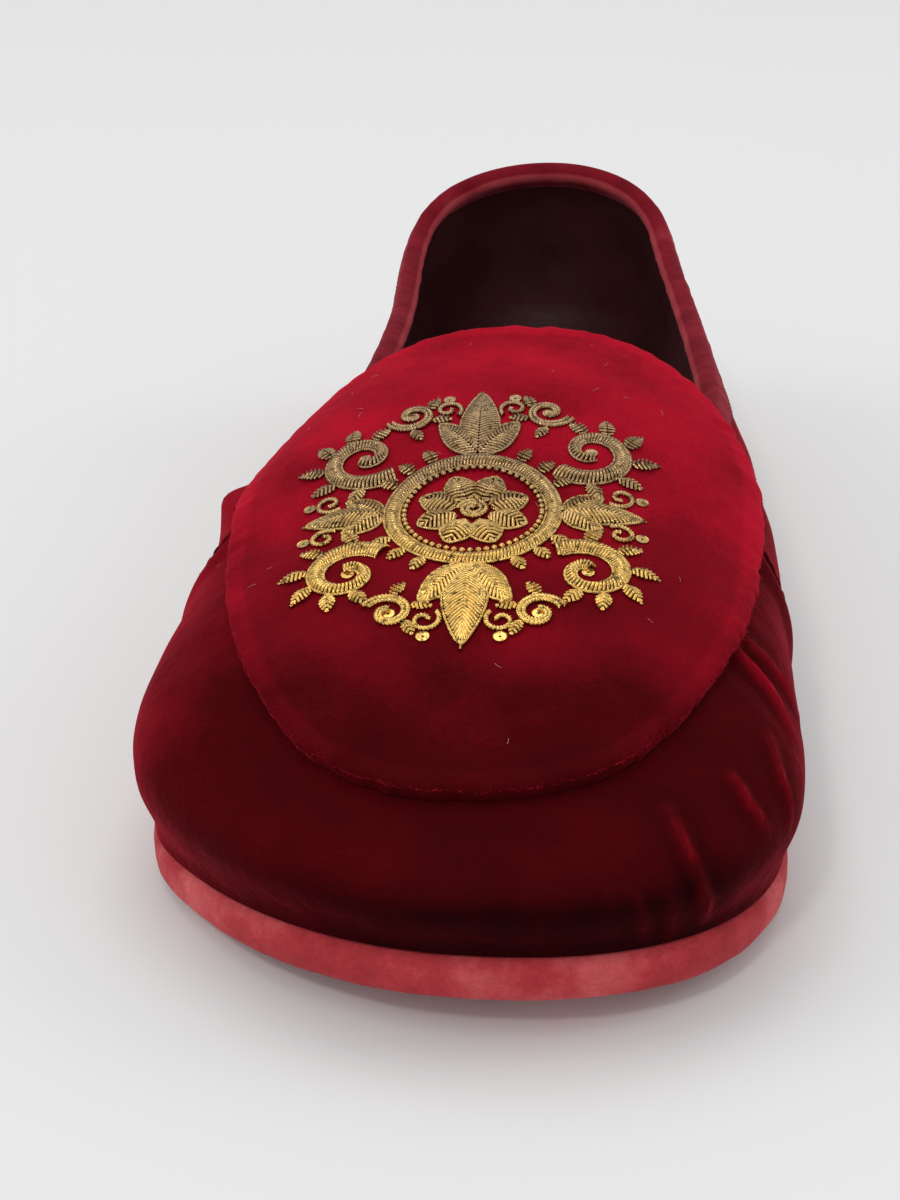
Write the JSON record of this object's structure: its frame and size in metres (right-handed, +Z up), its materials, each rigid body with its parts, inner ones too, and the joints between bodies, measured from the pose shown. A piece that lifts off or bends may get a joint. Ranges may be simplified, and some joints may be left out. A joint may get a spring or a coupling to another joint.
{
  "type": "velvet slipper loafer",
  "caption": "Right velvet slipper loafer with a moccasin apron that runs on as a free tongue, bound collar and flat wrapped sole.",
  "frame": {"origin": "centre of the shoe's bounding box, on the floor that the forefoot and the heel stand on", "axes": "+Z up, +Y towards the heel and so -Y towards the toe, +X towards the medial side of this right shoe"},
  "size_m": [0.1082, 0.2868, 0.0651],
  "materials": {
    "sole_suede": "rose suede wrapped round the sole's edge, soft nap with lighter worn patches",
    "heel_suede": "rose suede, matt",
    "footbed_leather": "dark burgundy smooth leather",
    "upper_velvet": "deep red velvet, dark where seen straight on and bright at grazing edges",
    "apron_velvet": "red velvet with a gold bullion design",
    "binding_velvet": "folded burgundy tape"
  },
  "bodies": {
    "root": {"outsole": "sole_suede", "heel": "heel_suede", "insole": "footbed_leather", "upper": "upper_velvet", "apron_tongue": "apron_velvet", "collar_binding": "binding_velvet"}
  },
  "joints": []
}
